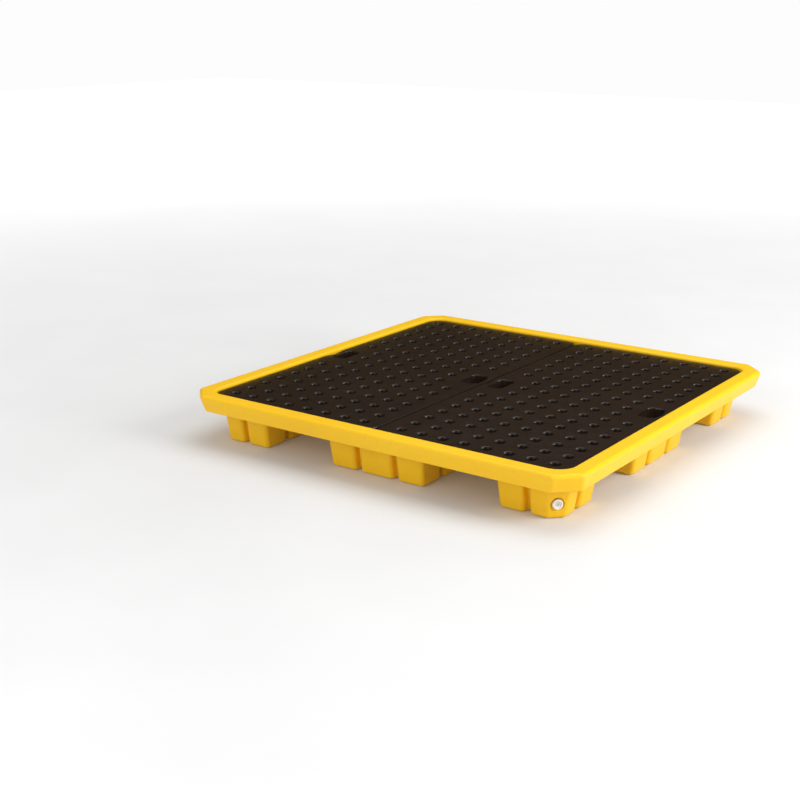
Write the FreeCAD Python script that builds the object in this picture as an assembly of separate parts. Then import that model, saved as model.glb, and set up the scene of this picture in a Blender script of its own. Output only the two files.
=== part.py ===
import FreeCAD, Part
import math
import os

# Low-profile spill containment pallet for four drums, in millimetres.
# Origin: centre of the footprint, on the floor. X runs along the front, Y to the back, Z up.
# A one-piece moulded sump on nine hollow feet holds two lift-out deck gratings.
# The moulding is divided at the underside of its floor into a tray and nine feet, which are
# rigidly joined; each is then a simple cup or frame whose hollow stays open in collision.

V = FreeCAD.Vector
UP = V(0, 0, 1)

# --- overall size
HALF = 650.0            # half of the outer plan, where the rim is widest
RIM_TOP = 150.0
RIM_BOTTOM = 100.0      # also the clear height of the fork pockets
RIM_FLARE = 10.5        # how much narrower the rim is at its lower edge, per side
CHANNEL_CORNER = 58.0   # leg of the cut corner inside the rolled rim
RIM_CORNER = 60.0       # leg of the cut corner in plan
RIM_BEVEL = 5.0         # bevel of the rim's upper edges
PLAN_ROUND = 18.0       # rounding at each end of a cut corner, in plan
WALL = 6.0              # moulded wall

# --- deck opening and gratings
DECK_HALF = 595.0
DECK_TOP = 142.5
DECK_THICK = 30.0
DECK_GAP = 4.0          # play between grating and rim
SEAM_GAP = 3.0          # play between the two gratings
DECK_CORNER = 45.0
SEAM_CORNER = 25.0
DECK_PLATE = 6.0        # skin of the deck above the ribs
DECK_ROUND = 6.0
RIB = 5.0
TUBE_WALL = 4.0

# --- drain holes in the gratings, on one square lattice
PITCH = 68.4
FIRST_COLUMN = 62.9     # from the seam
COLUMNS = 8
HALF_ROWS = 8           # rows each side of the middle one
HOLE_TOP_R = 16.5
HOLE_LOW_R = 11.5
HOLE_LIP = 2.5          # flare of the mouth
BLOCKED_COLUMNS = (0, COLUMNS - 1)
BLOCKED_ROWS = (-1, 0, 1)

# --- handholds, one at each long side of each grating
GRIP_INSET = 18.0       # from the grating's edge
GRIP_WIDE = 54.0
GRIP_LONG = 96.0
GRIP_CORNER = 20.0
GRIP_CHANNEL = 3.5      # depth of the finger channel between handhold and edge

# --- feet: three spans along each side, corner, middle, corner
FOOT_OUTER = (575.0, 592.0)     # outer face at the floor and at the rim's lower edge
CORNER_INNER = (396.0, 392.0)   # inner face of a corner foot
MIDDLE_HALF = (158.0, 162.0)    # half width of a middle foot
FOOT_CUT = (33.0, 46.0)         # leg of the cut on the pallet's own corners
CORNER_GROOVE = 480.0
MIDDLE_GROOVE = 63.0
GROOVE_WIDE = 16.0
GROOVE_DEEP = 25.0
FOOT_TOE = 8.0                  # height of the bevel at the sole's edge

# --- bearing studs under the gratings, on the roofs of the fork tunnels
STUD_WIDE = 24.0
STUD_LINE_X = FIRST_COLUMN + 3 * PITCH
STUD_LINE_Y = 4 * PITCH

# --- drain: G 1/2 plug in a bushing, on the cut face of the front right foot
PLUG_Z = 42.0
PLUG_SEAT = 790.5       # distance of the seat from the pallet's centre line, along the plug's axis
SPOT_R = 18.0
BOSS_R = 21.0
BUSHING_R = 13.5
BUSHING_LONG = 20.0
BUSHING_BORE_R = 10.6
SHANK_R = 10.3
SHANK_LONG = 16.0
SEAL_THICK = 2.0
SEAL_OUT_R = 13.0
SEAL_IN_R = 10.7
PLUG_HEAD_R = 14.0
PLUG_HEAD_THICK = 7.0
PLUG_BEVEL = 1.5
PLUG_DISH_R = 9.0
PLUG_DISH_DEEP = 3.0
PLUG_HEX_R = 5.8
PLUG_HEX_DEEP = 5.0
FACE_PLAY = 0.1         # play at the seal's two faces


def rounded_wire(points, radii, z):
    """Closed wire through corner points at height z, each corner rounded by its own radius."""
    count = len(points)
    starts, ends, middles = [], [], []
    for i, (here, radius) in enumerate(zip(points, radii)):
        corner = V(here[0], here[1], z)
        before = V(points[i - 1][0], points[i - 1][1], z)
        after = V(points[(i + 1) % count][0], points[(i + 1) % count][1], z)
        back = (before - corner).normalize()
        onward = (after - corner).normalize()
        half_angle = back.getAngle(onward) / 2
        reach = radius / math.tan(half_angle)
        starts.append(corner + back * reach)
        ends.append(corner + onward * reach)
        inward = (back + onward).normalize()
        middles.append(corner + inward * (radius / math.sin(half_angle) - radius))
    edges = []
    for i in range(count):
        if radii[i] > 0:
            edges.append(Part.Arc(starts[i], middles[i], ends[i]).toShape())
        edges.append(Part.LineSegment(ends[i], starts[(i + 1) % count]).toShape())
    return Part.Wire(edges)


def cut_square(half, leg, z):
    """A square with cut corners, seen in plan."""
    near = half - leg
    points = [(near, -half), (half, -near), (half, near), (near, half),
              (-near, half), (-half, near), (-half, -near), (-near, -half)]
    return rounded_wire(points, [PLAN_ROUND] * len(points), z)


def rounded_square(half, radius, z):
    """A square with rounded corners, seen in plan."""
    points = [(half, -half), (half, half), (-half, half), (-half, -half)]
    return rounded_wire(points, [radius] * len(points), z)


def prism(wire, height):
    """The solid above a flat wire."""
    return Part.Face(wire).extrude(UP * height)


def fork_spans(level, inset=0.0):
    """The three foot spans along a side at level 0 (floor) or 1 (rim), each (low, high)."""
    outer = FOOT_OUTER[level] - inset
    inner = CORNER_INNER[level] + inset
    middle = MIDDLE_HALF[level] - inset
    return [(-outer, -inner), (-middle, middle), (inner, outer)]


SPAN_GROOVES = [(-CORNER_GROOVE,), (-MIDDLE_GROOVE, MIDDLE_GROOVE), (CORNER_GROOVE,)]


def foot_outline(column, row, level, z, inset=0.0, toe=0.0):
    """Plan of one foot: a rectangle with a groove at each block joint, seen in plan.

    inset is the wall for the inside of the foot, and toe a further shrinking for the sole.
    """
    shrink = inset + toe
    x0, x1 = fork_spans(level, shrink)[column]
    y0, y1 = fork_spans(level, shrink)[row]
    wide = GROOVE_WIDE / 2 + shrink
    cut = FOOT_CUT[level] - shrink * (2 - math.sqrt(2))
    sides = [((x0, y0), (1, 0), x1 - x0, [g - x0 for g in SPAN_GROOVES[column]]),
             ((x1, y0), (0, 1), y1 - y0, [g - y0 for g in SPAN_GROOVES[row]]),
             ((x1, y1), (-1, 0), x1 - x0, [x1 - g for g in reversed(SPAN_GROOVES[column])]),
             ((x0, y1), (0, -1), y1 - y0, [y1 - g for g in reversed(SPAN_GROOVES[row])])]
    outer_corner = {(0, 0): 0, (2, 0): 1, (2, 2): 2, (0, 2): 3}.get((column, row))
    points = []
    for number, (start, along, length, grooves) in enumerate(sides):
        across = (-along[1], along[0])
        cut_here = number == outer_corner
        cut_before = (number + 1) % 4 == outer_corner
        if cut_here:
            points.append((start[0] + along[0] * cut, start[1] + along[1] * cut))
        else:
            points.append(start)
        for groove in grooves:
            for offset, depth in ((-wide, 0), (-wide, GROOVE_DEEP), (wide, GROOVE_DEEP), (wide, 0)):
                step = groove + offset
                points.append((start[0] + along[0] * step + across[0] * depth,
                               start[1] + along[1] * step + across[1] * depth))
        if cut_before:
            far = length - cut
            points.append((start[0] + along[0] * far, start[1] + along[1] * far))
    return Part.makePolygon([V(x, y, z) for x, y in points + points[:1]])


def foot_body(column, row):
    """The outside of one foot, from its sole to the underside of the rim."""
    sole = foot_outline(column, row, 0, 0.0, toe=FOOT_TOE / 2)
    ankle = foot_outline(column, row, 0, FOOT_TOE)
    top = foot_outline(column, row, 1, RIM_BOTTOM)
    lower = Part.makeLoft([sole, ankle], True, True)
    upper = Part.makeLoft([ankle, top], True, True)
    return lower.fuse(upper)


def foot_well(column, row):
    """The space inside one foot, open to the sump above."""
    floor = foot_outline(column, row, 0, WALL, inset=WALL)
    mouth = foot_outline(column, row, 1, RIM_BOTTOM + WALL, inset=WALL)
    return Part.makeLoft([floor, mouth], True, True)


def rim_body():
    """The rim as a solid block, flared outwards up to its bevelled top edge."""
    full_flare = RIM_FLARE * (RIM_TOP - RIM_BOTTOM) / (RIM_TOP - RIM_BOTTOM - RIM_BEVEL)
    low = cut_square(HALF - RIM_FLARE, RIM_CORNER, RIM_BOTTOM)
    high = cut_square(HALF - RIM_FLARE + full_flare, RIM_CORNER, RIM_TOP)
    block = Part.makeLoft([low, high], True, True)
    opening = prism(rounded_square(DECK_HALF + DECK_GAP, DECK_CORNER + DECK_GAP,
                                   RIM_BOTTOM + WALL), RIM_TOP)
    body = block.cut(opening)
    top_edges = [e for e in body.Edges
                 if e.BoundBox.ZMin > RIM_TOP - 0.01 and e.BoundBox.ZMax < RIM_TOP + 0.01]
    return body.makeChamfer(RIM_BEVEL, top_edges)


def rim_channel():
    """The space under the rolled rim, open below."""
    low = cut_square(HALF - RIM_FLARE - WALL, CHANNEL_CORNER, RIM_BOTTOM - 1)
    high = cut_square(HALF - WALL, CHANNEL_CORNER, RIM_TOP - WALL)
    wall_line = rounded_square(DECK_HALF + DECK_GAP + WALL, DECK_CORNER + DECK_GAP + WALL,
                               RIM_BOTTOM - 2)
    return Part.makeLoft([low, high], True, True).cut(prism(wall_line, RIM_TOP))


def stud_places():
    """Centres of the bearing studs, each under the middle of a grating rib."""
    places = []
    for side in (-1, 1):
        for step in range(-HALF_ROWS - 1, HALF_ROWS + 1):
            places.append((side * STUD_LINE_X, (step + 0.5) * PITCH))
        for step in range(-1, COLUMNS):
            x = FIRST_COLUMN + (step + 0.5) * PITCH
            if step not in (2, 3):
                for end in (-1, 1):
                    places.append((side * x, end * STUD_LINE_Y))
    return places


PLUG_AXIS = V(1, -1, 0).normalize()


def on_plug_axis(distance):
    """A point on the drain's axis, at a distance from the pallet's centre line."""
    return PLUG_AXIS * distance + UP * PLUG_Z


def rod(radius, start, end):
    """A cylinder on the drain's axis between two distances from the centre line."""
    return Part.makeCylinder(radius, end - start, on_plug_axis(start), PLUG_AXIS)


def make_moulding():
    """Rim, floor, nine hollow feet, bearing studs and the drain boss, all one moulding."""
    feet = [(column, row) for column in range(3) for row in range(3)]
    outside = rim_body().multiFuse([foot_body(*foot) for foot in feet])
    body = outside.cut([rim_channel()] + [foot_well(*foot) for foot in feet])
    stud_height = DECK_TOP - DECK_THICK - RIM_BOTTOM - WALL
    half = STUD_WIDE / 2
    studs = [Part.makeBox(STUD_WIDE, STUD_WIDE, stud_height + 1,
                          V(x - half, y - half, RIM_BOTTOM + WALL - 1))
             for x, y in stud_places()]
    boss = rod(BOSS_R, PLUG_SEAT - BUSHING_LONG, PLUG_SEAT)
    body = body.multiFuse(studs + [boss])
    spot = rod(SPOT_R, PLUG_SEAT, PLUG_SEAT + 30)
    socket = rod(BUSHING_R, PLUG_SEAT - BUSHING_LONG - 5, PLUG_SEAT + 5)
    return body.cut([spot, socket]).removeSplitter()


def divide(moulding):
    """The moulding's tray, and its feet by name, parted at the underside of the floor."""
    side = 2 * HALF + 20
    corner = V(-side / 2, -side / 2, 0)
    tray = moulding.common(Part.makeBox(side, side, RIM_TOP, corner + UP * RIM_BOTTOM))
    feet = moulding.common(Part.makeBox(side, side, RIM_BOTTOM, corner))
    named = {}
    for foot in feet.Solids:
        column = ("left", "middle", "right")[round(foot.CenterOfMass.x / CORNER_GROOVE) + 1]
        row = ("front", "middle", "back")[round(foot.CenterOfMass.y / CORNER_GROOVE) + 1]
        named[f"foot_{row}_{column}"] = foot
    # the middle feet of front and back are mirror images, so one is drawn from the other
    named["foot_front_middle"] = named["foot_back_middle"].mirror(V(0, 0, 0), V(0, 1, 0))
    return tray, named


def make_bushing():
    """Threaded bushing moulded into the drain boss; the thread is drawn at its crest."""
    outer = rod(BUSHING_R, PLUG_SEAT - BUSHING_LONG, PLUG_SEAT)
    return outer.cut(rod(BUSHING_BORE_R, PLUG_SEAT - BUSHING_LONG - 1, PLUG_SEAT + 1))


def make_seal():
    """Flat rubber washer under the plug's head."""
    start = PLUG_SEAT + FACE_PLAY
    ring = rod(SEAL_OUT_R, start, start + SEAL_THICK)
    return ring.cut(rod(SEAL_IN_R, start - 1, start + SEAL_THICK + 1))


def make_plug():
    """Round-headed screw plug with a dished face and a hexagon socket."""
    seat = PLUG_SEAT + SEAL_THICK + 2 * FACE_PLAY
    face = seat + PLUG_HEAD_THICK
    head = rod(PLUG_HEAD_R, seat, face)
    rims = [e for e in head.Edges if e.Closed and e.CenterOfMass.dot(PLUG_AXIS) > face - 0.1]
    head = head.makeChamfer(PLUG_BEVEL, rims)
    shank = rod(SHANK_R, seat - SHANK_LONG, seat)
    dish = rod(PLUG_DISH_R, face - PLUG_DISH_DEEP, face + 1)
    deep = face - PLUG_DISH_DEEP - PLUG_HEX_DEEP
    turn = FreeCAD.Rotation(UP, PLUG_AXIS)
    corners = []
    for k in range(7):
        angle = math.radians(60 * k)
        flat = V(PLUG_HEX_R * math.cos(angle), PLUG_HEX_R * math.sin(angle), 0)
        corners.append(on_plug_axis(deep) + turn.multVec(flat))
    depth = PLUG_AXIS * (PLUG_HEX_DEEP + 1)
    socket = Part.Face(Part.makePolygon(corners)).extrude(depth)
    return head.fuse(shank).cut([dish, socket]).removeSplitter()


def hole_places():
    """Centres of one grating's drain holes, leaving out those that the handholds replace."""
    places = []
    for column in range(COLUMNS):
        for row in range(-HALF_ROWS, HALF_ROWS + 1):
            if not (column in BLOCKED_COLUMNS and row in BLOCKED_ROWS):
                places.append((FIRST_COLUMN + column * PITCH, row * PITCH))
    return places


def deck_outline(inset, z):
    """Plan of the right grating."""
    x0 = SEAM_GAP / 2 + inset
    x1 = DECK_HALF - inset
    y1 = DECK_HALF - inset
    seam_r = max(SEAM_CORNER - inset, 2.0)
    edge_r = max(DECK_CORNER - inset, 2.0)
    points = [(x0, -y1), (x1, -y1), (x1, y1), (x0, y1)]
    return rounded_wire(points, [seam_r, edge_r, edge_r, seam_r], z)


def grip_outline(low_x, grow, z):
    """Plan of a handhold, grown on every side by a margin."""
    x0 = low_x - grow
    x1 = low_x + GRIP_WIDE + grow
    y1 = GRIP_LONG / 2 + grow
    points = [(x0, -y1), (x1, -y1), (x1, y1), (x0, y1)]
    return rounded_wire(points, [GRIP_CORNER + grow] * 4, z)


GRIP_LOWS = (SEAM_GAP / 2 + GRIP_INSET, DECK_HALF - GRIP_INSET - GRIP_WIDE)


def funnel(x, y):
    """Cutter for one drain hole: a flared mouth on a cone that narrows downwards."""
    low = DECK_TOP - DECK_THICK - 1
    neck = DECK_TOP - HOLE_LIP
    profile = Part.makePolygon([V(0, 0, low), V(HOLE_LOW_R, 0, low), V(HOLE_TOP_R, 0, neck),
                                V(HOLE_TOP_R + HOLE_LIP, 0, DECK_TOP),
                                V(HOLE_TOP_R + HOLE_LIP, 0, DECK_TOP + 1),
                                V(0, 0, DECK_TOP + 1), V(0, 0, low)])
    cutter = Part.Face(profile).revolve(V(0, 0, 0), UP, 360)
    cutter.translate(V(x, y, 0))
    return cutter


def rib_cells():
    """The hollows between the ribs, open below."""
    base = DECK_TOP - DECK_THICK - 1
    field = Part.Face(deck_outline(RIB, base))
    top = DECK_HALF
    keep = []
    for column in range(COLUMNS):
        x = FIRST_COLUMN + column * PITCH
        keep.append(Part.makePlane(RIB, 2 * top, V(x - RIB / 2, -top, base)))
    for row in range(-HALF_ROWS, HALF_ROWS + 1):
        keep.append(Part.makePlane(top, RIB, V(0, row * PITCH - RIB / 2, base)))
    for x, y in hole_places():
        ring = Part.Wire(Part.makeCircle(HOLE_TOP_R + TUBE_WALL, V(x, y, base)))
        keep.append(Part.Face(ring))
    for low_x in GRIP_LOWS:
        keep.append(Part.Face(grip_outline(low_x, TUBE_WALL, base)))
    cells = field.cut(keep)
    return [face.extrude(UP * (DECK_THICK - DECK_PLATE + 1)) for face in cells.Faces]


def grip_channel(low_x, edge_x):
    """Cutter for the shallow round channel from a handhold to the grating's near edge."""
    radius = ((GRIP_LONG / 2) ** 2 + GRIP_CHANNEL ** 2) / (2 * GRIP_CHANNEL)
    start = min(low_x + GRIP_WIDE / 2, edge_x)
    length = abs(edge_x - low_x - GRIP_WIDE / 2)
    centre = V(start, 0, DECK_TOP + radius - GRIP_CHANNEL)
    return Part.makeCylinder(radius, length, centre, V(1, 0, 0))


def make_right_grating():
    """Deck grating: top skin, edge skirt, ribs, drain tubes and two handholds."""
    slab = prism(deck_outline(0.0, DECK_TOP - DECK_THICK), DECK_THICK)
    rims = [e for e in slab.Edges
            if e.BoundBox.ZMin > DECK_TOP - 0.01 and e.BoundBox.ZMax < DECK_TOP + 0.01]
    slab = slab.makeFillet(DECK_ROUND, rims)
    cutters = rib_cells()
    cutters += [funnel(x, y) for x, y in hole_places()]
    for low_x in GRIP_LOWS:
        cutters.append(prism(grip_outline(low_x, 0.0, DECK_TOP - DECK_THICK - 1), DECK_THICK + 2))
    cutters.append(grip_channel(GRIP_LOWS[0], SEAM_GAP / 2 - 1))
    cutters.append(grip_channel(GRIP_LOWS[1], DECK_HALF + 1))
    return slab.cut(cutters)


def export(name, shape):
    """Write one piece as STEP, after checking that it is a single valid solid."""
    solids = shape.Solids
    if len(solids) != 1 or not solids[0].isValid():
        raise ValueError(f"{name} is {len(solids)} solids, or not valid")
    solids[0].exportStep(f"parts/{name}.step")
    print(f"{name}: {solids[0].Volume / 1e6:.2f} litres, {len(solids[0].Faces)} faces")


os.makedirs("parts", exist_ok=True)
right = make_right_grating()
export("right_grating", right)
export("left_grating", right.mirror(V(0, 0, 0), V(1, 0, 0)))
tray, feet = divide(make_moulding())
export("sump_tray", tray)
for name, foot in feet.items():
    export(name, foot)
export("drain_bushing", make_bushing())
export("plug_seal", make_seal())
export("drain_plug", make_plug())
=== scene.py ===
import math

import bmesh
import bpy
from mathutils import Matrix, Vector


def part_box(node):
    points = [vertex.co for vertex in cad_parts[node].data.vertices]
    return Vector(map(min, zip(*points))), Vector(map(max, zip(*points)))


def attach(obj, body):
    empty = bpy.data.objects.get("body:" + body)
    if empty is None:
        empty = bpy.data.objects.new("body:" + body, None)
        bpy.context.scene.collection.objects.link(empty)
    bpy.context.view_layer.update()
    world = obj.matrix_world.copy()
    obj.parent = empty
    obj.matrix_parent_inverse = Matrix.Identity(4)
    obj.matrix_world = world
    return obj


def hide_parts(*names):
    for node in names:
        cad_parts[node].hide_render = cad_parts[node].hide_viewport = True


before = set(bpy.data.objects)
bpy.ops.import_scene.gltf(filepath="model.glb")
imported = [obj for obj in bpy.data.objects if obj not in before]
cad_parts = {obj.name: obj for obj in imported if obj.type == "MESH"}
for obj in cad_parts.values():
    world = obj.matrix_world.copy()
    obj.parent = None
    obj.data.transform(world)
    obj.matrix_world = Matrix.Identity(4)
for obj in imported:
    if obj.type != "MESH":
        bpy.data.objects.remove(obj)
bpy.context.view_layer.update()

# Low-profile drum spill pallet: a moulded yellow sump, two black deck gratings and a white
# drain plug. Everything is in metres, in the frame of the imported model.

# --- sizes read from the frame
TRAY_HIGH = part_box("sump_tray")[1]
GRATING_LOW, GRATING_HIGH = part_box("right_grating")
HALF = TRAY_HIGH[0]             # half of the outer plan
RIM_TOP = TRAY_HIGH[2]
DECK_TOP = GRATING_HIGH[2]
DECK_BASE = GRATING_LOW[2]
DECK_HALF = GRATING_HIGH[0]
SEAM_EASE = 0.0015              # edge of each grating set back, so that the joint reads dark
SEAM = GRATING_LOW[0] + SEAM_EASE

# --- sizes of the moulding
RIM_BOTTOM = 0.100
RIM_FLARE = 0.0105
RIM_CORNER = 0.060
RIM_CORNER_R = 0.020
RIM_ROUND = 0.011
LIP_ROUND = 0.008
EDGE_ROUND = 0.003              # lower edge of the rim
WALL = 0.006
DECK_GAP = 0.004
DECK_CORNER = 0.045
OPENING = DECK_HALF + DECK_GAP
OPENING_R = DECK_CORNER + DECK_GAP
FLOOR = RIM_BOTTOM + WALL
FLOOR_ROUND = 0.002

# --- feet
FOOT_OUTER = (0.575, 0.592)
CORNER_INNER = (0.396, 0.392)
MIDDLE_HALF = (0.158, 0.162)
FOOT_CUT = (0.033, 0.046)
CORNER_GROOVE = 0.480
MIDDLE_GROOVE = 0.063
GROOVE_WIDE = 0.016
GROOVE_DEEP = 0.025
BLOCK_R = 0.0130                # upright edges of the blocks
GROOVE_R = 0.006                # inner corners of the grooves
TOE_ROUND = 0.0110
ANKLE_ROUND = 0.004             # where a foot meets the tunnel's roof
MOUTH_ROUND = 0.004             # where a well opens into the sump
WELL_ROUND = 0.0025             # edge of the well's floor

# --- drain holes, handholds and ribs of the gratings
PITCH = 0.0684
FIRST_COLUMN = 0.0629
COLUMNS = 8
HALF_ROWS = 8
BLOCKED_COLUMNS = (0, COLUMNS - 1)
BLOCKED_ROWS = (-1, 0, 1)
HOLE_TOP_R = 0.0145
HOLE_LOW_R = 0.0115
HOLE_LIP = 0.0050
TUBE_WALL = 0.004
TUBE_ROUND = 0.0006             # lower edges of a drain tube
GRIP_INSET = 0.018
GRIP_WIDE = 0.054
GRIP_LONG = 0.096
GRIP_CORNER = 0.020
GRIP_LIP = 0.004
GRIP_ROUND = 0.001              # lower edges of a handhold's frame
CHANNEL_DEEP = 0.004
PLATE = 0.006
SKIRT = 0.005
SKIRT_ROUND = 0.001             # lower edges of the skirt
RIB = 0.005
RIB_SHORT = 0.0008              # how far the ribs end above the grating's base
RIB_SUNK = 0.0015               # how far they reach into the skin
DECK_ROUND = 0.003
SEAM_CORNER = 0.034

# --- bearing studs on the tunnel roofs
STUD_HALF = 0.012
STUD_CORNER = 0.004
STUD_FOOT = 0.0014
STUD_ROUND = 0.0015             # upper edge
STUD_LINE_X = FIRST_COLUMN + 3 * PITCH
STUD_LINE_Y = 4 * PITCH

# --- drain
AXIS = Vector((1, -1, 0)).normalized()
PLUG_Z = 0.042
BUSHING_R = 0.0135
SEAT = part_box("drain_bushing")[1][0] / AXIS.x - BUSHING_R
BUSHING_LONG = 0.020
BOSS_R = 0.021
SPOT_R = 0.018                  # recess around the plug
SPOT_EDGE = 0.0030              # how far its softened rim reaches out
SOCKET_PLAY = 0.0001
FACE_PLAY = 0.0001              # play at each face of the washer
SEAL_THICK = 0.0020
SEAL_IN_R = 0.0107
SEAL_OUT_R = 0.0130
SEAL_ROUND = 0.0004
HEAD_R = 0.014
HEAD_THICK = 0.007
HEAD_ROUND = 0.0022
SHANK_LONG = 0.016
SHANK_NECK_R = 0.0092
THREAD_R = 0.0098               # mean radius
THREAD_DEEP = 0.0009
THREAD_PITCH = 0.001814
THREAD_LONG = 0.0125
THREAD_STEPS = 8                # rings in one pitch
DISH_DEEP = 0.0030
HEX_APOTHEM = 0.0050
HEX_END = 0.0080                # depth of the socket's end below the plug's face

ARC = 6                         # straight pieces in a quarter turn's arc
ROUND_STEPS = 5                 # steps over a rounded edge
FINE_STEPS = 3                  # steps over a small one
GRATING_ARC = 8                 # straight pieces in an arc of a grating's outlines
HOLE_POINTS = 32
DRAIN_POINTS = 48               # in a ring around the drain
TURN_POINTS = 96                # in a ring of the plug and the washer


# ---------------------------------------------------------------- outlines and surfaces

def outline(points, radii, pieces=ARC):
    """Rounded closed outline, anticlockwise: a list of (x, y, normal x, normal y)."""
    samples = []
    count = len(points)
    for i, (here, radius) in enumerate(zip(points, radii)):
        corner = Vector(here)
        back = (Vector(points[i - 1]) - corner).normalized()
        onward = (Vector(points[(i + 1) % count]) - corner).normalized()
        half = back.angle(onward) / 2
        centre = corner + (back + onward).normalized() * (radius / math.sin(half))
        first = corner + back * (radius / math.tan(half)) - centre
        last = corner + onward * (radius / math.tan(half)) - centre
        convex = back.x * onward.y - back.y * onward.x < 0
        sweep = first.angle(last) * (1 if convex else -1)
        start = math.atan2(first.y, first.x)
        for k in range(pieces + 1):
            angle = start + sweep * k / pieces
            way = Vector((math.cos(angle), math.sin(angle)))
            spot = centre + way * radius
            normal = way if convex else -way
            samples.append((spot.x, spot.y, normal.x, normal.y))
    return samples


def circle(x, y, radius, count):
    """A round outline with its normals."""
    samples = []
    for k in range(count):
        angle = 2 * math.pi * k / count
        c, s = math.cos(angle), math.sin(angle)
        samples.append((x + c * radius, y + s * radius, c, s))
    return samples


def between(low, high, t):
    """The outline that lies at share t between two outlines of the same make."""
    return [tuple(a + (b - a) * t for a, b in zip(p, q)) for p, q in zip(low, high)]


def rounding(radius, inset, z, turn_in, turn_z, steps=ROUND_STEPS):
    """(inset, z) pairs over a quarter round that starts upright at (inset, z)."""
    pairs = []
    for k in range(steps + 1):
        angle = math.pi / 2 * k / steps
        pairs.append((inset + turn_in * radius * (1 - math.cos(angle)),
                      z + turn_z * radius * math.sin(angle)))
    return pairs


class Surface:
    """One mesh, put together from closed rings of points."""

    def __init__(self):
        self.bm = bmesh.new()

    def ring(self, samples, inset, z):
        """A ring at height z, drawn in along the outline's normals."""
        return [self.bm.verts.new((x - nx * inset, y - ny * inset, z))
                for x, y, nx, ny in samples]

    def points(self, places):
        """A ring through given points."""
        return [self.bm.verts.new(place) for place in places]

    def bridge(self, low, high, leave_out=None):
        """Joins two rings of the same count, apart from the face at one place."""
        count = len(low)
        for i in range(count):
            if i != leave_out:
                j = (i + 1) % count
                self.bm.faces.new((low[i], low[j], high[j], high[i]))

    def stack(self, rings):
        """Joins a list of rings in turn."""
        for low, high in zip(rings, rings[1:]):
            self.bridge(low, high)

    def cap(self, ring):
        """Closes a ring with one face."""
        self.bm.faces.new(ring)

    def fill(self, loops):
        """Fills the flat region that lies between loops of points."""
        edges = []
        for loop in loops:
            for a, b in zip(loop, loop[1:] + loop[:1]):
                edge = self.bm.edges.get((a, b))
                edges.append(edge or self.bm.edges.new((a, b)))
        bmesh.ops.triangle_fill(self.bm, use_beauty=True, edges=edges)

    def bar(self, x0, x1, y0, y1, z0, z1):
        """A closed upright bar, such as one rib."""
        low = self.points([(x0, y0, z0), (x1, y0, z0), (x1, y1, z0), (x0, y1, z0)])
        high = self.points([(x0, y0, z1), (x1, y0, z1), (x1, y1, z1), (x0, y1, z1)])
        self.bridge(low, high)
        self.cap(low[::-1])
        self.cap(high)

    def finish(self, name, body, material, stands_for, angle=40):
        """Makes the object, shades it, and lets it ride in place of its CAD nodes."""
        bmesh.ops.recalc_face_normals(self.bm, faces=self.bm.faces)
        open_edges = sum(1 for e in self.bm.edges if len(e.link_faces) != 2)
        print(f"{name}: {len(self.bm.faces)} faces, {open_edges} open edges")
        mesh = bpy.data.meshes.new(name)
        self.bm.to_mesh(mesh)
        self.bm.free()
        mesh.shade_smooth()
        mesh.set_sharp_from_angle(angle=math.radians(angle))
        mesh.materials.append(material)
        piece = bpy.data.objects.new(name, mesh)
        bpy.context.scene.collection.objects.link(piece)
        weigh = piece.modifiers.new("weigh", "WEIGHTED_NORMAL")
        weigh.keep_sharp = True
        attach(piece, body)
        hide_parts(*stands_for)
        return piece


# ---------------------------------------------------------------- materials

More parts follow.
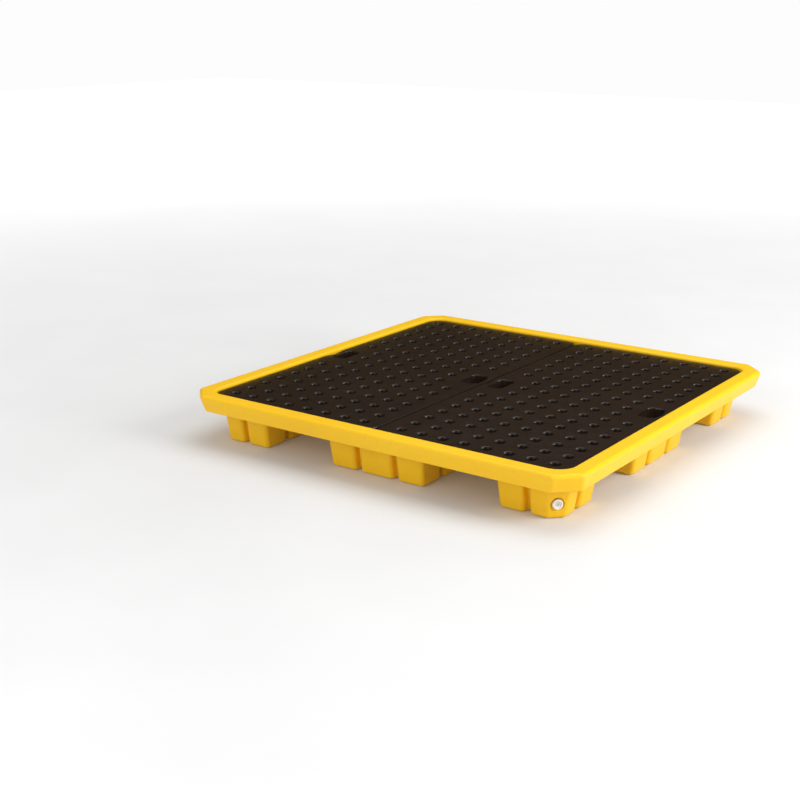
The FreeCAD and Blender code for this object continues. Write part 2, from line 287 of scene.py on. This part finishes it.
class Material:
    """A node material on one Principled shader, with short calls for its usual nodes."""

    def __init__(self, name):
        self.made = bpy.data.materials.new(name)
        self.made.use_nodes = True
        self.nodes = self.made.node_tree.nodes
        self.links = self.made.node_tree.links
        self.shader = self.nodes["Principled BSDF"]
        self.where = self.nodes.new("ShaderNodeTexCoord").outputs["Object"]

    def noise(self, scale, detail=3.0, rough=0.5, stretch=None):
        """Noise value over the object's own coordinates."""
        node = self.nodes.new("ShaderNodeTexNoise")
        node.inputs["Scale"].default_value = scale
        node.inputs["Detail"].default_value = detail
        node.inputs["Roughness"].default_value = rough
        source = self.where
        if stretch:
            mapping = self.nodes.new("ShaderNodeMapping")
            mapping.inputs["Scale"].default_value = stretch
            self.links.new(self.where, mapping.inputs["Vector"])
            source = mapping.outputs["Vector"]
        self.links.new(source, node.inputs["Vector"])
        return node.outputs["Fac"]

    def spread(self, value, low, high, out_low=0.0, out_high=1.0):
        """Maps a value's range to another range, clamped."""
        node = self.nodes.new("ShaderNodeMapRange")
        node.inputs["From Min"].default_value = low
        node.inputs["From Max"].default_value = high
        node.inputs["To Min"].default_value = out_low
        node.inputs["To Max"].default_value = out_high
        self.links.new(value, node.inputs["Value"])
        return node.outputs["Result"]

    def mix(self, share, first, second):
        """Blends two colours, each a colour or another node's output."""
        node = self.nodes.new("ShaderNodeMix")
        node.data_type = "RGBA"
        self.links.new(share, node.inputs["Factor"])
        for socket, value in ((node.inputs[6], first), (node.inputs[7], second)):
            if isinstance(value, tuple):
                socket.default_value = (*value, 1.0)
            else:
                self.links.new(value, socket)
        return node.outputs[2]

    def worn_edges(self, low, high):
        """Rises from 0 to 1 on outer edges."""
        pointy = self.nodes.new("ShaderNodeNewGeometry").outputs["Pointiness"]
        return self.spread(pointy, low, high)

    def bump(self, height, depth, before=None):
        """Adds relief of a depth in metres, on top of an earlier relief."""
        node = self.nodes.new("ShaderNodeBump")
        node.inputs["Strength"].default_value = 1.0
        node.inputs["Distance"].default_value = depth
        self.links.new(height, node.inputs["Height"])
        if before:
            self.links.new(before, node.inputs["Normal"])
        self.links.new(node.outputs["Normal"], self.shader.inputs["Normal"])
        return node.outputs["Normal"]

    def set(self, **values):
        """Sets the shader's own sockets, or links them to an output."""
        for name, value in values.items():
            socket = self.shader.inputs[name.replace("_", " ")]
            if isinstance(value, bpy.types.NodeSocket):
                self.links.new(value, socket)
            else:
                socket.default_value = value


def yellow_moulding():
    """Satin polyethylene with a faint mottle, orange peel and paler worn edges."""
    m = Material("yellow_moulding")
    cloud = m.spread(m.noise(3.0, 4.0), 0.3, 0.7)
    base = m.mix(cloud, (0.930, 0.535, 0.008), (0.960, 0.585, 0.012))
    grain = m.spread(m.noise(95.0, 5.0, 0.6), 0.35, 0.75)
    base = m.mix(m.spread(grain, 0.0, 1.0, 0.0, 0.35), base, (0.880, 0.480, 0.007))
    base = m.mix(m.spread(m.worn_edges(0.52, 0.62), 0.0, 1.0, 0.0, 0.30), base,
                 (1.000, 0.720, 0.070))
    m.set(Base_Color=base, Roughness=m.spread(m.noise(22.0, 5.0, 0.65), 0.3, 0.7, 0.33, 0.46))
    m.set(Specular_IOR_Level=0.30)
    peel = m.bump(m.noise(260.0, 2.0), 0.00022)
    m.bump(m.noise(9.0, 2.0), 0.0012, peel)
    return m.made


def black_moulding():
    """Satin black polyethylene with a fine grain; its slight brown cast is a painted warm
    reflection.
    """
    m = Material("black_moulding")
    cloud = m.spread(m.noise(5.0, 5.0, 0.6), 0.3, 0.7)
    # painted reflection: the brown cast in both blacks stands in for warm surroundings
    # mirrored in the deck
    base = m.mix(cloud, (0.0140, 0.0075, 0.0040), (0.0200, 0.0110, 0.0062))
    dust = m.spread(m.noise(60.0, 6.0, 0.7), 0.58, 0.80, 0.0, 0.30)
    base = m.mix(dust, base, (0.032, 0.021, 0.014))
    base = m.mix(m.spread(m.worn_edges(0.52, 0.64), 0.0, 1.0, 0.0, 0.35), base,
                 (0.070, 0.066, 0.064))
    m.set(Base_Color=base, Roughness=m.spread(m.noise(30.0, 5.0, 0.7), 0.3, 0.7, 0.26, 0.40))
    m.set(Specular_IOR_Level=0.5)
    grain = m.bump(m.noise(420.0, 2.0), 0.00018)
    m.bump(m.noise(12.0, 2.0), 0.0010, grain)
    return m.made


def white_nylon():
    """Slightly translucent white nylon with faint turning marks."""
    m = Material("white_nylon")
    cloud = m.spread(m.noise(70.0, 4.0), 0.3, 0.7)
    base = m.mix(cloud, (0.83, 0.81, 0.77), (0.88, 0.87, 0.84))
    m.set(Base_Color=base, Roughness=m.spread(m.noise(300.0, 3.0), 0.3, 0.7, 0.30, 0.42))
    m.set(Subsurface_Weight=0.15, Subsurface_Scale=0.004)
    m.bump(m.noise(900.0, 2.0), 0.00006)
    return m.made


def seal_rubber():
    """Matt black rubber."""
    m = Material("seal_rubber")
    cloud = m.spread(m.noise(220.0, 4.0), 0.3, 0.7)
    m.set(Base_Color=m.mix(cloud, (0.018, 0.018, 0.018), (0.035, 0.034, 0.033)))
    m.set(Roughness=m.spread(m.noise(400.0, 3.0), 0.3, 0.7, 0.70, 0.85))
    m.bump(m.noise(1200.0, 2.0), 0.00006)
    return m.made


def turned_brass():
    """Turned brass, slightly dulled."""
    m = Material("turned_brass")
    cloud = m.spread(m.noise(150.0, 4.0), 0.3, 0.7)
    m.set(Base_Color=m.mix(cloud, (0.52, 0.36, 0.13), (0.70, 0.51, 0.22)), Metallic=1.0)
    m.set(Roughness=m.spread(m.noise(500.0, 3.0), 0.3, 0.7, 0.28, 0.42))
    m.bump(m.noise(1500.0, 2.0), 0.00004)
    return m.made


def pale_floor():
    """Plain matt studio floor that pales evenly into the distance."""
    m = Material("pale_floor")
    cloud = m.spread(m.noise(2.0, 3.0), 0.3, 0.7)
    m.set(Base_Color=m.mix(cloud, (0.70, 0.70, 0.70), (0.73, 0.73, 0.73)), Roughness=0.85)
    away = m.nodes.new("ShaderNodeVectorMath")
    away.operation = "LENGTH"
    m.links.new(m.where, away.inputs[0])
    m.set(Specular_IOR_Level=0.1, Emission_Color=(1.0, 1.0, 1.0, 1.0))
    m.set(Emission_Strength=m.spread(away.outputs["Value"], 1.0, 6.0, 0.04, 0.62))
    return m.made


# ---------------------------------------------------------------- sump

def rim_outline(z):
    """The outer outline at height z, with its cut corners."""
    slope = RIM_FLARE / (RIM_TOP - RIM_BOTTOM - RIM_ROUND)
    half = HALF - slope * max(RIM_TOP - RIM_ROUND - z, 0.0)
    near = half - RIM_CORNER
    points = [(near, -half), (half, -near), (half, near), (near, half),
              (-near, half), (-half, near), (-half, -near), (-near, -half)]
    return outline(points, [RIM_CORNER_R] * 8)


def opening_outline():
    """The deck opening's outline, with as many points as the rim's."""
    half = OPENING
    points = [(half, -half), (half, half), (-half, half), (-half, -half)]
    return outline(points, [OPENING_R] * 4, 2 * ARC + 1)


def spans(level):
    """The three foot spans along a side, at the floor (0) or the rim (1)."""
    outer, inner, middle = FOOT_OUTER[level], CORNER_INNER[level], MIDDLE_HALF[level]
    return [(-outer, -inner), (-middle, middle), (inner, outer)]


SPAN_GROOVES = [(-CORNER_GROOVE,), (-MIDDLE_GROOVE, MIDDLE_GROOVE), (CORNER_GROOVE,)]
OUTER_CORNERS = {(0, 0): 0, (2, 0): 1, (2, 2): 2, (0, 2): 3}


def foot_outline(column, row, level):
    """One foot's outline with a groove at each block joint, and the place of its cut face."""
    x0, x1 = spans(level)[column]
    y0, y1 = spans(level)[row]
    cut = FOOT_CUT[level]
    sides = [((x0, y0), (1, 0), x1 - x0, [g - x0 for g in SPAN_GROOVES[column]]),
             ((x1, y0), (0, 1), y1 - y0, [g - y0 for g in SPAN_GROOVES[row]]),
             ((x1, y1), (-1, 0), x1 - x0, [x1 - g for g in reversed(SPAN_GROOVES[column])]),
             ((x0, y1), (0, -1), y1 - y0, [y1 - g for g in reversed(SPAN_GROOVES[row])])]
    outer_corner = OUTER_CORNERS.get((column, row))
    points, radii = [], []
    cut_face = None
    half_groove = GROOVE_WIDE / 2
    for number, (start, along, length, grooves) in enumerate(sides):
        across = (-along[1], along[0])
        begin = cut if number == outer_corner else 0.0
        points.append((start[0] + along[0] * begin, start[1] + along[1] * begin))
        radii.append(BLOCK_R)
        for groove in grooves:
            for offset, depth, radius in ((-half_groove, 0, BLOCK_R),
                                          (-half_groove, GROOVE_DEEP, GROOVE_R),
                                          (half_groove, GROOVE_DEEP, GROOVE_R),
                                          (half_groove, 0, BLOCK_R)):
                step = groove + offset
                points.append((start[0] + along[0] * step + across[0] * depth,
                               start[1] + along[1] * step + across[1] * depth))
                radii.append(radius)
        if (number + 1) % 4 == outer_corner:
            far = length - cut
            points.append((start[0] + along[0] * far, start[1] + along[1] * far))
            radii.append(BLOCK_R)
            cut_face = len(points) * (ARC + 1) - 1
    return outline(points, radii), cut_face


def on_axis(distance, across=0.0, up=0.0):
    """A point by its distance along the drain's axis and its offsets from it."""
    side = Vector((1, 1, 0)).normalized()
    return AXIS * distance + side * across + Vector((0, 0, PLUG_Z + up))


def ring_on_face(surface, corners, radius, sunk=0.0, floor=None):
    """A ring about the drain's axis that follows a sloping flat face, a little below it."""
    a, b, c = (v.co for v in corners[:3])
    normal = (b - a).cross(c - a).normalized()
    places = []
    for k in range(DRAIN_POINTS):
        angle = 2 * math.pi * k / DRAIN_POINTS
        across, up = radius * math.cos(angle), radius * math.sin(angle)
        base = on_axis(0.0, across, up)
        distance = (a - base).dot(normal) / AXIS.dot(normal) - sunk
        if floor is not None:
            distance = max(distance, floor)
        places.append(on_axis(distance, across, up))
    return surface.points(places)


def ring_on_axis(surface, radius, distance):
    """A ring square to the drain's axis."""
    places = []
    for k in range(DRAIN_POINTS):
        angle = 2 * math.pi * k / DRAIN_POINTS
        places.append(on_axis(distance, radius * math.cos(angle), radius * math.sin(angle)))
    return surface.points(places)


def drain_boss(surface, outer_face, inner_face):
    """The recessed seat and the socket for the bushing, through the cut face of the foot."""
    mouth = ring_on_face(surface, outer_face, SPOT_R + SPOT_EDGE)
    surface.fill([outer_face, mouth])
    rings = [mouth]
    for grow, sunk in ((0.0020, 0.0003), (0.0008, 0.0010), (0.0001, 0.0022)):
        rings.append(ring_on_face(surface, outer_face, SPOT_R + grow, sunk, SEAT + 0.0012))
    rings.append(ring_on_axis(surface, SPOT_R - 0.0003, SEAT + 0.0004))
    rings.append(ring_on_axis(surface, SPOT_R - 0.0012, SEAT))
    rings.append(ring_on_axis(surface, BUSHING_R + SOCKET_PLAY, SEAT))
    end = SEAT - BUSHING_LONG
    rings.append(ring_on_axis(surface, BUSHING_R + SOCKET_PLAY, end))
    rings.append(ring_on_axis(surface, BOSS_R - 0.0015, end))
    rings.append(ring_on_axis(surface, BOSS_R - 0.0004, end + 0.0004))
    rings.append(ring_on_axis(surface, BOSS_R, end + 0.0015))
    inside = ring_on_face(surface, inner_face, BOSS_R)
    rings.append(inside)
    surface.stack(rings)
    surface.fill([inner_face, inside])


def foot(surface, column, row):
    """One hollow foot. Returns its loops in the tunnels' roof and in the sump's floor."""
    low, cut_face = foot_outline(column, row, 0)
    high, _ = foot_outline(column, row, 1)
    has_drain = (column, row) == (2, 0)

    def at(z):
        return between(low, high, z / RIM_BOTTOM)

    sole = []
    for inset, z in reversed(rounding(TOE_ROUND, 0.0, TOE_ROUND, 1, -1)):
        sole.append(surface.ring(at(z), inset, z))
    ankle = [surface.ring(at(z), inset, z) for inset, z in
             rounding(ANKLE_ROUND, 0.0, RIM_BOTTOM - ANKLE_ROUND, -1, 1)]
    surface.fill([sole[0]])
    surface.stack(sole)
    surface.bridge(sole[-1], ankle[0], cut_face if has_drain else None)
    surface.stack(ankle)
    bottom = []
    for inset, z in reversed(rounding(WELL_ROUND, WALL, WALL + WELL_ROUND, 1, -1, FINE_STEPS)):
        bottom.append(surface.ring(at(z), inset, z))
    mouth = [surface.ring(at(z), inset, z) for inset, z in
             rounding(MOUTH_ROUND, WALL, FLOOR - MOUTH_ROUND, -1, 1)]
    surface.fill([bottom[0]])
    surface.stack(bottom)
    surface.bridge(bottom[-1], mouth[0], cut_face if has_drain else None)
    surface.stack(mouth)
    if has_drain:
        i, j = cut_face, cut_face + 1
        drain_boss(surface, [sole[-1][i], sole[-1][j], ankle[0][j], ankle[0][i]],
                   [bottom[-1][i], bottom[-1][j], mouth[0][j], mouth[0][i]])
    return ankle[-1], mouth[-1]


def stud_places():
    """Centres of the bearing studs, each under the middle of a grating rib."""
    for side in (-1, 1):
        for step in range(-HALF_ROWS - 1, HALF_ROWS + 1):
            yield side * STUD_LINE_X, (step + 0.5) * PITCH
        for step in range(-1, COLUMNS):
            if step not in (2, 3):
                for end in (-1, 1):
                    yield side * (FIRST_COLUMN + (step + 0.5) * PITCH), end * STUD_LINE_Y


def stud(surface, x, y):
    """One bearing stud. Returns its loop in the sump's floor."""
    low_x, high_x = x - STUD_HALF, x + STUD_HALF
    low_y, high_y = y - STUD_HALF, y + STUD_HALF
    around = outline([(low_x, low_y), (high_x, low_y), (high_x, high_y), (low_x, high_y)],
                     [STUD_CORNER] * 4, 4)
    pairs = [(-STUD_FOOT, FLOOR), (-STUD_FOOT / 3, FLOOR + STUD_FOOT / 3),
             (0.0, FLOOR + STUD_FOOT)]
    pairs += rounding(STUD_ROUND, 0.0, DECK_BASE - STUD_ROUND, 1, 1, FINE_STEPS)
    rings = [surface.ring(around, inset, z) for inset, z in pairs]
    surface.stack(rings)
    surface.cap(rings[-1])
    return rings[0]


def make_sump(material):
    """Rim, floor, feet, studs and drain boss in one closed surface."""
    s = Surface()
    # along the rim's section: up the channel's inner side, across its ceiling, down its outer
    # side, round the lower edge, up the outer face, over the top and down to the sump's floor
    opening = opening_outline()
    ceiling = RIM_TOP - WALL
    rings = [s.ring(opening, -WALL, z) for z in (RIM_BOTTOM, ceiling - 0.001)]
    rings.append(s.ring(opening, -WALL - 0.001, ceiling))
    rings.append(s.ring(rim_outline(ceiling), WALL + 0.001, ceiling))
    rings.append(s.ring(rim_outline(ceiling), WALL, ceiling - 0.001))
    lower_z = RIM_BOTTOM + EDGE_ROUND
    for inset, z in (rounding(EDGE_ROUND, WALL, lower_z, -1, -1, FINE_STEPS)
                     + rounding(EDGE_ROUND, 0.0, lower_z, 1, -1, FINE_STEPS)[::-1][1:]):
        rings.append(s.ring(rim_outline(lower_z), inset, z))
    for inset, z in rounding(RIM_ROUND, 0.0, RIM_TOP - RIM_ROUND, 1, 1, 7):
        rings.append(s.ring(rim_outline(z), inset, z))
    for inset, z in rounding(LIP_ROUND, 0.0, RIM_TOP - LIP_ROUND, -1, 1)[::-1]:
        rings.append(s.ring(opening, inset, z))
    for inset, z in rounding(FLOOR_ROUND, 0.0, FLOOR + FLOOR_ROUND, 1, -1, FINE_STEPS):
        rings.append(s.ring(opening, inset, z))
    s.stack(rings)
    roof_loops, floor_loops = [rings[0]], [rings[-1]]
    for column in range(3):
        for row in range(3):
            outside, inside = foot(s, column, row)
            roof_loops.append(outside)
            floor_loops.append(inside)
    for x, y in stud_places():
        floor_loops.append(stud(s, x, y))
    s.fill(roof_loops)
    s.fill(floor_loops)
    feet = [f"foot_{row}_{column}" for row in ("front", "middle", "back")
            for column in ("left", "middle", "right")]
    return s.finish("sump_moulding", "sump", material, ["sump_tray", *feet])


# ---------------------------------------------------------------- gratings

def hole_places():
    """Centres of the right grating's drain holes, without those the handholds replace."""
    for column in range(COLUMNS):
        for row in range(-HALF_ROWS, HALF_ROWS + 1):
            if not (column in BLOCKED_COLUMNS and row in BLOCKED_ROWS):
                yield FIRST_COLUMN + column * PITCH, row * PITCH


GRIP_LOWS = (SEAM + GRIP_INSET, DECK_HALF - GRIP_INSET - GRIP_WIDE)


def deck_outline():
    """The right grating's outline, with extra points beside the finger channels."""
    x0, x1, y1 = SEAM, DECK_HALF, DECK_HALF
    steps = [GRIP_LONG * (k / 12 - 0.5) * 1.15 for k in range(13)]
    corners = outline([(x0, -y1), (x1, -y1), (x1, y1), (x0, y1)],
                      [SEAM_CORNER, DECK_CORNER, DECK_CORNER, SEAM_CORNER], GRATING_ARC)
    per = GRATING_ARC + 1
    right = [(x1, y, 1.0, 0.0) for y in steps]
    left = [(x0, y, -1.0, 0.0) for y in reversed(steps)]
    return corners[:2 * per] + right + corners[2 * per:] + left


def grip_outline(low_x):
    """A handhold's outline, with extra points beside its finger channel."""
    x0, x1, y1 = low_x, low_x + GRIP_WIDE, GRIP_LONG / 2
    corners = outline([(x0, -y1), (x1, -y1), (x1, y1), (x0, y1)],
                      [GRIP_CORNER] * 4, GRATING_ARC)
    flat = [(y1 - GRIP_CORNER) * (k / 5 - 0.5) * 2 * 0.95 for k in range(6)]
    per = GRATING_ARC + 1
    right = [(x1, y, 1.0, 0.0) for y in flat]
    left = [(x0, y, -1.0, 0.0) for y in reversed(flat)]
    return corners[:2 * per] + right + corners[2 * per:] + left


def channel_drop(x, y):
    """How far the deck dips at a point, for the finger channels at the two edges."""
    reach = GRIP_LONG / 2 * 1.1
    if abs(y) > reach:
        return 0.0
    dip = 0.5 + 0.5 * math.cos(math.pi * y / reach)
    low = GRIP_LOWS[0] + GRIP_WIDE / 2
    high = GRIP_LOWS[1] + GRIP_WIDE / 2
    share = max((low - x) / (low - SEAM - GRIP_INSET), (x - high) / (GRIP_WIDE / 2))
    share = min(max(share, 0.0), 1.0)
    return CHANNEL_DEEP * dip * share * share * (3 - 2 * share)


def make_grating(side, name, material):
    """One deck grating: skin, skirt, drain tubes, handholds and the ribs below."""
    s = Surface()
    under = DECK_TOP - PLATE
    edge = deck_outline()
    pairs = [(SKIRT, under), (SKIRT, DECK_BASE + SKIRT_ROUND),
             (SKIRT - SKIRT_ROUND, DECK_BASE), (SKIRT_ROUND, DECK_BASE),
             (0.0, DECK_BASE + SKIRT_ROUND)]
    pairs += rounding(DECK_ROUND, 0.0, DECK_TOP - DECK_ROUND, 1, 1, 6)
    skirt = [s.ring(edge, inset, z) for inset, z in pairs]
    s.stack(skirt)
    top_loops, under_loops = [skirt[-1]], [skirt[0]]
    narrowing = HOLE_TOP_R - HOLE_LOW_R
    for x, y in hole_places():
        mouth = circle(x, y, HOLE_TOP_R, HOLE_POINTS)
        pairs = [(-i, z) for i, z in
                 rounding(HOLE_LIP, 0.0, DECK_TOP - HOLE_LIP, 1, 1)[::-1]]
        pairs += [(narrowing, DECK_BASE + TUBE_ROUND),
                  (narrowing - TUBE_ROUND, DECK_BASE),
                  (narrowing - TUBE_WALL + TUBE_ROUND, DECK_BASE),
                  (narrowing - TUBE_WALL, DECK_BASE + TUBE_ROUND),
                  (-TUBE_WALL, under)]
        tube = [s.ring(mouth, inset, z) for inset, z in pairs]
        s.stack(tube)
        top_loops.append(tube[0])
        under_loops.append(tube[-1])
    for low_x in GRIP_LOWS:
        around = grip_outline(low_x)
        pairs = [(-i, z) for i, z in
                 rounding(GRIP_LIP, 0.0, DECK_TOP - GRIP_LIP, 1, 1)[::-1]]
        pairs += [(0.0, DECK_BASE + GRIP_ROUND), (-GRIP_ROUND, DECK_BASE),
                  (-TUBE_WALL + GRIP_ROUND, DECK_BASE), (-TUBE_WALL, DECK_BASE + GRIP_ROUND),
                  (-TUBE_WALL, under)]
        frame_rings = [s.ring(around, inset, z) for inset, z in pairs]
        s.stack(frame_rings)
        top_loops.append(frame_rings[0])
        under_loops.append(frame_rings[-1])
    s.fill(top_loops)
    s.fill(under_loops)
    for vert in s.bm.verts:
        if vert.co.z > under - 0.0005:
            vert.co.z -= channel_drop(vert.co.x, vert.co.y)
    add_ribs(s, under)
    if side < 0:
        bmesh.ops.transform(s.bm, matrix=Matrix.Scale(-1, 4, (1, 0, 0)), verts=s.bm.verts)
        bmesh.ops.reverse_faces(s.bm, faces=s.bm.faces)
    stands_for = "left_grating" if side < 0 else "right_grating"
    return s.finish(name, stands_for, material, [stands_for])


def add_ribs(s, under):
    """Straight ribs between neighbouring tubes, and from the outer tubes to the skirt."""
    half = RIB / 2
    low, high = DECK_BASE + RIB_SHORT, under + RIB_SUNK
    near = HOLE_TOP_R + 0.0005
    present = set()
    for column in range(COLUMNS):
        for row in range(-HALF_ROWS, HALF_ROWS + 1):
            if not (column in BLOCKED_COLUMNS and row in BLOCKED_ROWS):
                present.add((column, row))
    for column, row in present:
        x, y = FIRST_COLUMN + column * PITCH, row * PITCH
        if (column + 1, row) in present:
            s.bar(x + near, x + PITCH - near, y - half, y + half, low, high)
        elif column == COLUMNS - 1:
            s.bar(x + near, DECK_HALF - SKIRT / 2, y - half, y + half, low, high)
        else:
            s.bar(x + near, GRIP_LOWS[1] - TUBE_WALL / 2, y - half, y + half, low, high)
        if column == 0:
            s.bar(SEAM + SKIRT / 2, x - near, y - half, y + half, low, high)
        elif (column - 1, row) not in present:
            s.bar(GRIP_LOWS[0] + GRIP_WIDE + TUBE_WALL / 2, x - near,
                  y - half, y + half, low, high)
        if (column, row + 1) in present:
            s.bar(x - half, x + half, y + near, y + PITCH - near, low, high)
        elif row == HALF_ROWS:
            s.bar(x - half, x + half, y + near, DECK_HALF - SKIRT / 2, low, high)
        if row == -HALF_ROWS:
            s.bar(x - half, x + half, -DECK_HALF + SKIRT / 2, y - near, low, high)


# ---------------------------------------------------------------- drain plug and washer

def lathe(surface, profile):
    """Rings about the drain's axis; each radius is a number or a function of the angle."""
    rings = []
    for radius, distance in profile:
        places = []
        for k in range(TURN_POINTS):
            angle = 2 * math.pi * k / TURN_POINTS
            r = radius(angle) if callable(radius) else radius
            places.append(on_axis(distance, r * math.cos(angle), r * math.sin(angle)))
        rings.append(surface.points(places))
    surface.stack(rings)
    return rings


def hexagon(apothem):
    """Radius of a hexagon as a function of the angle."""
    def radius(angle):
        return apothem / math.cos((angle % (math.pi / 3)) - math.pi / 6)
    return radius


def thread(distance):
    """Radius of the right-handed thread at a place along the axis, by the angle."""
    def radius(angle):
        share = (distance / THREAD_PITCH + angle / (2 * math.pi)) % 1.0
        return THREAD_R + THREAD_DEEP * (abs(2 * share - 1) - 0.5)
    return radius


def make_plug(material):
    """The white screw plug: dished round head, hexagon socket and threaded shank."""
    s = Surface()
    seat = SEAT + SEAL_THICK + 2 * FACE_PLAY
    face = seat + HEAD_THICK
    shank_end = seat - SHANK_LONG
    profile = [(0.0065, shank_end), (0.0088, shank_end), (0.0093, shank_end + 0.0006)]
    for k in range(int(THREAD_LONG / THREAD_PITCH * THREAD_STEPS) + 1):
        place = shank_end + 0.001 + k * THREAD_PITCH / THREAD_STEPS
        profile.append((thread(place), place))
    profile += [(SHANK_NECK_R, seat - 0.0020), (SHANK_NECK_R, seat - 0.0004), (0.0096, seat),
                (HEAD_R - 0.0006, seat), (HEAD_R, seat + 0.0006)]
    profile += [(HEAD_R - inset, place) for inset, place in
                rounding(HEAD_ROUND, 0.0, face - HEAD_ROUND, 1, 1, 6)]
    dish = face - DISH_DEEP
    profile += [(0.0102, face), (0.0096, face - 0.0003), (0.0093, face - 0.0010),
                (0.0091, face - 0.0024), (0.0086, dish), (0.0074, dish),
                (hexagon(HEX_APOTHEM + 0.0004), dish), (hexagon(HEX_APOTHEM), dish - 0.0005),
                (hexagon(HEX_APOTHEM), face - HEX_END)]
    rings = lathe(s, profile)
    s.cap(rings[0][::-1])
    s.cap(rings[-1])
    return s.finish("plug_with_thread", "drain_plug", material, ["drain_plug"], 50)


def make_washer(material):
    """The flat rubber washer, with softly rounded edges."""
    s = Surface()
    inner, outer, soft = SEAL_IN_R, SEAL_OUT_R, SEAL_ROUND
    low = SEAT + FACE_PLAY
    high = low + SEAL_THICK
    profile = [(inner, low + soft), (inner + soft, low), (outer - soft, low),
               (outer, low + soft), (outer, high - soft), (outer - soft, high),
               (inner + soft, high), (inner, high - soft)]
    rings = lathe(s, profile)
    s.bridge(rings[-1], rings[0])
    return s.finish("washer", "plug_seal", material, ["plug_seal"], 50)


# ---------------------------------------------------------------- stage, light and camera

def make_stage():
    """A plain floor that runs far behind the object."""
    mesh = bpy.data.meshes.new("studio_floor")
    size = 14.0
    mesh.from_pydata([(-size, -size, 0), (size, -size, 0), (size, size, 0), (-size, size, 0)],
                     [], [(0, 1, 2, 3)])
    mesh.materials.append(pale_floor())
    floor = bpy.data.objects.new("studio_floor", mesh)
    bpy.context.scene.collection.objects.link(floor)


def area_light(name, place, target, size, power, colour=(1.0, 1.0, 1.0)):
    """A soft square light aimed at a point."""
    data = bpy.data.lights.new(name, "AREA")
    data.size = size
    data.energy = power
    data.color = colour
    lamp = bpy.data.objects.new(name, data)
    lamp.location = place
    lamp.rotation_euler = (Vector(target) - Vector(place)).to_track_quat("-Z", "Y").to_euler()
    bpy.context.scene.collection.objects.link(lamp)


def make_lights():
    """Soft top light, a key from the right, a weak fill, and an even pale surround."""
    area_light("top", (0.0, 0.6, 3.4), (0.0, 0.0, 0.1), 3.2, 50)
    area_light("key", (3.6, 0.4, 1.9), (0.0, 0.0, 0.1), 2.0, 105)
    area_light("fill", (-0.6, -4.0, 1.6), (0.0, 0.0, 0.1), 2.4, 30)
    world = bpy.data.worlds.new("studio")
    world.use_nodes = True
    nodes, links = world.node_tree.nodes, world.node_tree.links
    path = nodes.new("ShaderNodeLightPath")
    seen = nodes.new("ShaderNodeMapRange")
    seen.inputs["To Min"].default_value = 0.62
    seen.inputs["To Max"].default_value = 0.98
    links.new(path.outputs["Is Camera Ray"], seen.inputs["Value"])
    strength = nodes.new("ShaderNodeMapRange")
    strength.inputs["To Max"].default_value = 0.06
    links.new(seen.outputs["Result"], strength.inputs["To Min"])
    links.new(path.outputs["Is Glossy Ray"], strength.inputs["Value"])
    links.new(strength.outputs["Result"], nodes["Background"].inputs["Strength"])
    tint = nodes.new("ShaderNodeMix")
    tint.data_type = "RGBA"
    tint.inputs[6].default_value = (1.0, 1.0, 1.0, 1.0)
    tint.inputs[7].default_value = (1.0, 0.68, 0.42, 1.0)
    links.new(path.outputs["Is Glossy Ray"], tint.inputs["Factor"])
    links.new(tint.outputs[2], nodes["Background"].inputs["Color"])
    bpy.context.scene.world = world
    bpy.context.scene.view_settings.view_transform = "Standard"


def make_camera():
    """Camera at the reference viewing angle: 35 degrees to the right, 17 degrees up."""
    data = bpy.data.cameras.new("camera")
    data.lens = 59.6
    data.sensor_width = 36.0
    camera = bpy.data.objects.new("camera", data)
    place = Vector((2.057, -3.358, 1.263))
    target = Vector((-0.183, -0.206, 0.100))
    camera.location = place
    look = (target - place).to_track_quat("-Z", "Y").to_matrix()
    roll = Matrix.Rotation(math.radians(0.2), 3, "Z")
    camera.rotation_euler = (look @ roll).to_euler()
    bpy.context.scene.collection.objects.link(camera)
    bpy.context.scene.camera = camera


make_camera()
make_stage()
make_lights()
yellow = yellow_moulding()
black = black_moulding()
make_sump(yellow)
make_grating(1, "right_deck", black)
make_grating(-1, "left_deck", black)
make_plug(white_nylon())
make_washer(seal_rubber())
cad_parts["drain_bushing"].material_slots[0].material = turned_brass()
